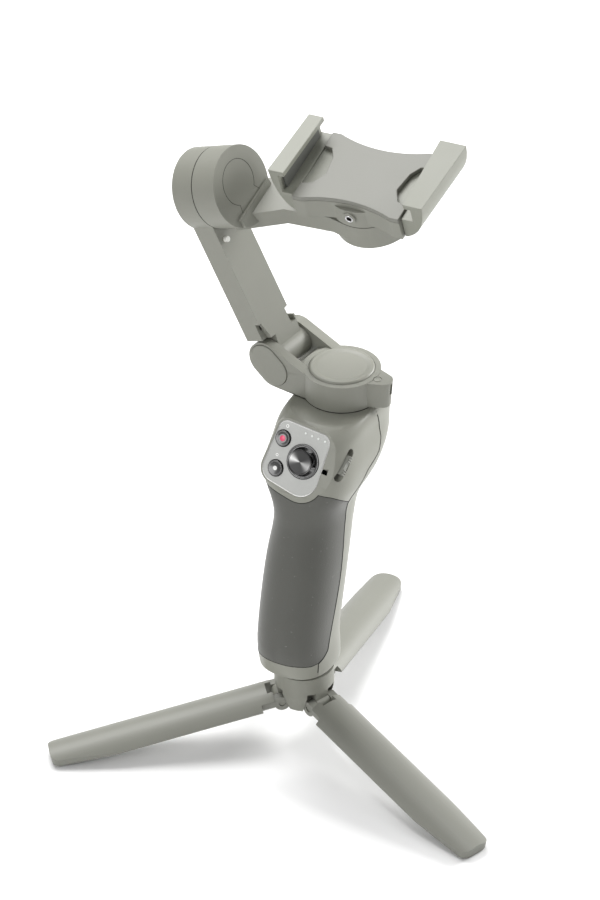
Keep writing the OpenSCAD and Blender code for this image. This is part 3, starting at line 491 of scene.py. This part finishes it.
grooves = [(5.05 - 0.23 * k, 3.5 - 0.022 * k + (0.03 if k % 2 else 0.0)) for k in range(22)]
lathe("joystick_top", [(0.01, -3.0), (1.6, -3.0), (1.7, 0.6), (4.3, 1.0), (5.0, 1.7)] + stick_top
      + grooves + [(0.01, 3.02)], stick_place, "joystick", spun.material, 96)
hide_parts("joystick_cap")
lathe("joystick_post", [(0.01, -8.3), (1.4, -8.0), (2.2, -7), (2.4, -6), (2.2, -5), (1.6, -4.2), (1.6, -2.6),
                        (0.01, -2.6)], stick_place, "joystick", black_gloss, 32)

# ---- Buttons ----------------------------------------------------------------
# Two round keys stand proud of the panel. The upper one starts recording and has
# a red lamp in a grey ring, and the lower one has a white dot.

for name, x, y in (("record", -11, 26.1), ("mode", -11.5, 12.3)):
    place = panel_place @ at(x, y, 0)
    key = lathe(name + "_key", button_profile(3.62, -3.8, 0.95, 0.3, 0.45), place,
                name + "_button", black_gloss)
    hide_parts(name + "_button")
    lathe(name + "_shadow_gap", ring(4.0, 3.72, -1.3, 0.02, 0.05), place, "handle", painted_gap_shade)
grey_ring = moulded("grey_ring", (0.30, 0.29, 0.29, 1), 0.35, 3000, 0.00001)
lathe("record_ring", ring(2.55, 1.3, 0.55, 0.78, 0.08), panel_place @ at(-11, 26.1, 0),
      "record_button", grey_ring)
# The red feeds a weak emission as well as the base colour: a faint painted glow on the key.
red_finish = Finish("record_red", Specular_IOR_Level=0.6, Emission_Strength=0.12)
red_and_painted_glow = red_finish.mix(red_finish.noise(700, 1), (0.62, 0.03, 0.10, 1), (0.80, 0.07, 0.17, 1))
red_finish.feed("Base Color", red_and_painted_glow)
red_finish.feed("Emission Color", red_and_painted_glow)
red_finish.feed("Roughness", red_finish.noise(400, 1) * 0.1 + 0.25)
lathe("record_lamp", button_profile(1.32, 0.4, 0.82, -0.12, 0.1), panel_place @ at(-11, 26.1, 0),
      "record_button", red_finish.material, 40)
lathe("mode_dot", button_profile(1.0, 0.4, 0.78, -0.06, 0.06), panel_place @ at(-11.5, 12.3, 0),
      "mode_button", print_white, 40)

# ---- Zoom slider and trigger ------------------------------------------------
# A dark slider with finger ridges at both ends runs in a slot on the right of the
# head. The trigger is one moulded lever on a steel pin at the rear.

# This dark finish is the trigger's own colour, and on the tripod's base plate it is painted shade.
dark_plastic = moulded("dark_plastic", (0.115, 0.117, 0.105, 1), 0.44)
slider_plastic = moulded("slider_plastic", (0.20, 0.203, 0.178, 1), 0.40)
dress("zoom_slider", slider_plastic, 0.15)
dress("trigger", dark_plastic, 0.5)

# ---- Metal and inner parts --------------------------------------------------
# Motors, bearings, shafts, springs and pins are bare or plated steel. Most of them
# only show through gaps or when the part is opened up.

plated_steel = machined("plated_steel", (0.56, 0.56, 0.57, 1), 0.3)
dress("leg_pins", body_plastic)
dress("tripod_stud trigger_pin usb_c_port usb_a_port pan_bearings pan_rotor pan_shaft "
      "tilt_bearings tilt_rotor tilt_shaft roll_bearings roll_rotor roll_shaft joystick_gimbal", plated_steel)
dress("trigger_spring clamp_springs", machined("spring_wire", (0.48, 0.48, 0.50, 1), 0.26))
dress("thread_insert", machined("insert_steel", (0.70, 0.69, 0.66, 1), 0.2))
dress("socket_insert", machined("turned_brass", (0.62, 0.46, 0.18, 1), 0.28))
windings = Finish("wound_copper", Metallic=0.8)
strands = windings.node("ShaderNodeTexWave", {}, {"Vector": windings.place(), "Scale": 900, "Distortion": 1.5})
windings.feed("Base Color", windings.mix(strands, (0.30, 0.10, 0.04, 1), (0.62, 0.27, 0.12, 1)))
windings.feed("Roughness", strands * 0.2 + 0.25)
windings.bumped(strands, 0.0001, 0.6)
dress("pan_stator tilt_stator roll_stator", windings.material)
dress("main_board", moulded("solder_mask", (0.02, 0.10, 0.045, 1), 0.28, 1500, 0.00001, 0.2, 0.4), 0.1)
dress("battery_cells", moulded("cell_sleeve", (0.04, 0.12, 0.28, 1), 0.25, 1200, 0.00001, 0.12, 0.5))
dress("arm_ribbon", moulded("ribbon_film", (0.42, 0.19, 0.05, 1), 0.25, 1200, 0.00001, 0.15, 0.5))
white_plastic = moulded("white_plastic", (0.70, 0.70, 0.66, 1), 0.38)
dress("latch_pin clamp_pinion", white_plastic)

# ---- Pan housing and yoke ---------------------------------------------------
# The pan motor's turning half is a squat drum with two ears for the folding arm and
# a nose opposite them. A pale disc closes it, and a shadow gap parts it from the collar.

dress("yoke", body_plastic, 0.7)
dress("pan_cap", head_plastic, 0.35)
cap = lathe("pan_disc", [(0.01, -1.0), (14.7, -1.0), (14.78, -0.3), (14.6, 0.3), (14.2, 0.72), (13.6, 0.92),
                         (12.9, 0.92), (12.3, 0.78), (11.5, 0.52), (10.9, 0.44), (0.01, 0.44)],
            pan_place, "yoke", head_plastic, 120)
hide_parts("pan_cap")
nose_place = pan_place @ turned_by("Z", 6) @ at(18.6, -1.2, -1.2)
lathe("nose_plug", [(0.01, 0), (1.75, 0), (1.8, 0.9), (1.6, 1.1), (1.2, 1.15), (0.9, 1.0), (0.01, 1.0)],
      nose_place, "yoke", head_plastic, 48)
dress("hinge_pin", body_plastic)
dress("ear_caps", body_plastic, 0.45)
# A dark ring of painted shade fills the gap between the drum and the collar.
lathe("pan_gap_shade", ring(17.36, 15.7, -13.48, -12.8, 0.05), pan_place, "yoke", painted_gap_shade)

# ---- Folding arm ------------------------------------------------------------
# A flat moulded arm holds the flex ribbon under a rear cover and ends in the fixed
# half of the tilt motor. The white pin below the motor is its spring latch.

dress("arm_shell", body_plastic, 0.8)
dress("arm_cover", body_plastic, 0.25)

# ---- Tilt and roll housings -------------------------------------------------
# The turning half of the tilt motor carries a bent plate that ends in the roll
# motor's drum below the phone. Dark rings of painted shade fill the gaps between
# turning halves.

dress("roll_arm", body_plastic, 0.7)
dress("roll_cover", head_plastic, 0.3)
tilt_axis = tilt_place @ turned_by("Y", 90)
lathe("tilt_gap_shade", ring(18.0, 16.5, 11.2, 11.9, 0.05), tilt_axis, "arm", painted_gap_shade)
# A thin dark tube laid round the tilt motor's cover paints the shade in its seam groove.
groove = bpy.data.curves.new("tilt_cover_line", "CURVE")
groove.dimensions = "3D"
track = groove.splines.new("POLY")
arc = [(-2.5 + 10.2 * math.cos(math.radians(a)), 10.2 * math.sin(math.radians(a))) for a in range(38, 323, 6)]
path = [(15.4, 10.8)] + arc + [(15.4, -9.8)]
track.points.add(len(path) - 1)
for point, (x, y) in zip(track.points, path):
    point.co = (x / 1000, y / 1000, 0.0243, 1)
groove.bevel_depth = 0.00009
groove.bevel_resolution = 1
cover_line = bpy.data.objects.new("tilt_cover_line", groove)
bpy.context.scene.collection.objects.link(cover_line)
cover_line.matrix_world = tilt_axis
groove.materials.append(painted_gap_shade)
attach(cover_line, "roll_arm")
# A dark ring of painted shade fills the roll motor's gap.
lathe("roll_gap_shade", ring(18.0, 16.5, -14.15, -13.6, 0.05), clamp_place, "roll_arm", painted_gap_shade)

# ---- Phone clamp ------------------------------------------------------------
# A shallow tray under a dark waisted cover holds the rack and pinion. Two hooked
# jaws slide out of its ends, each with a thin rubber pad for the phone's edge.

dress("clamp_body", body_plastic, 0.5)
dress("clamp_cover", moulded("cover_plastic", (0.185, 0.186, 0.162, 1), 0.48), 0.35)
dress("left_jaw right_jaw", moulded("jaw_plastic", (0.225, 0.23, 0.192, 1), 0.44), 0.6)
pad_rubber = moulded("pad_rubber", (0.085, 0.088, 0.078, 1), 0.62, 1700, 0.00005)
dress("left_pad right_pad", pad_rubber, 0.15)
insert_place = clamp_place @ at(0, -19.1, -8) @ turned_by("X", 90)
lathe("insert_collar", [(1.28, -0.6), (1.9, -0.6), (1.9, 0.02), (1.75, 0.15), (1.45, 0.15), (1.28, 0.0)],
      insert_place, "clamp", plated_steel, 48)

# ---- Tripod -----------------------------------------------------------------
# Three crowned legs hinge on steel pins in a hub that screws to the handle. Each
# ends in a near-black foot at its tip.

leg_plastic = moulded("leg_plastic", (0.205, 0.207, 0.180, 1), 0.45)
dress("leg_1 leg_2 leg_3", leg_plastic, 0.9)
dress("tripod_hub", body_plastic, 0.4)
# The base plate's near-black tone is painted shade: the band between the handle's foot and the hub lies in
# shadow.
dress("base_plate", dark_plastic, 0.4)
dress("leg_foot_1 leg_foot_2 leg_foot_3", moulded("near_black_foot", (0.035, 0.035, 0.033, 1), 0.7), 0.2)

# ---- Floor ------------------------------------------------------------------
# One plain pale sheet of card under the whole part.

card = Finish("white_card", Specular_IOR_Level=0.1)
card.feed("Base Color", card.mix(card.noise(3, 2), (0.86, 0.86, 0.86, 1), (0.88, 0.88, 0.88, 1)))
card.feed("Roughness", card.noise(5, 2) * 0.1 + 0.85)
sheet = bpy.data.meshes.new("floor")
sheet.from_pydata([(-6, -6, 0), (6, -6, 0), (6, 6, 0), (-6, 6, 0)], [], [(0, 1, 2, 3)])
sheet.materials.append(card.material)
floor = bpy.data.objects.new("floor", sheet)
bpy.context.scene.collection.objects.link(floor)
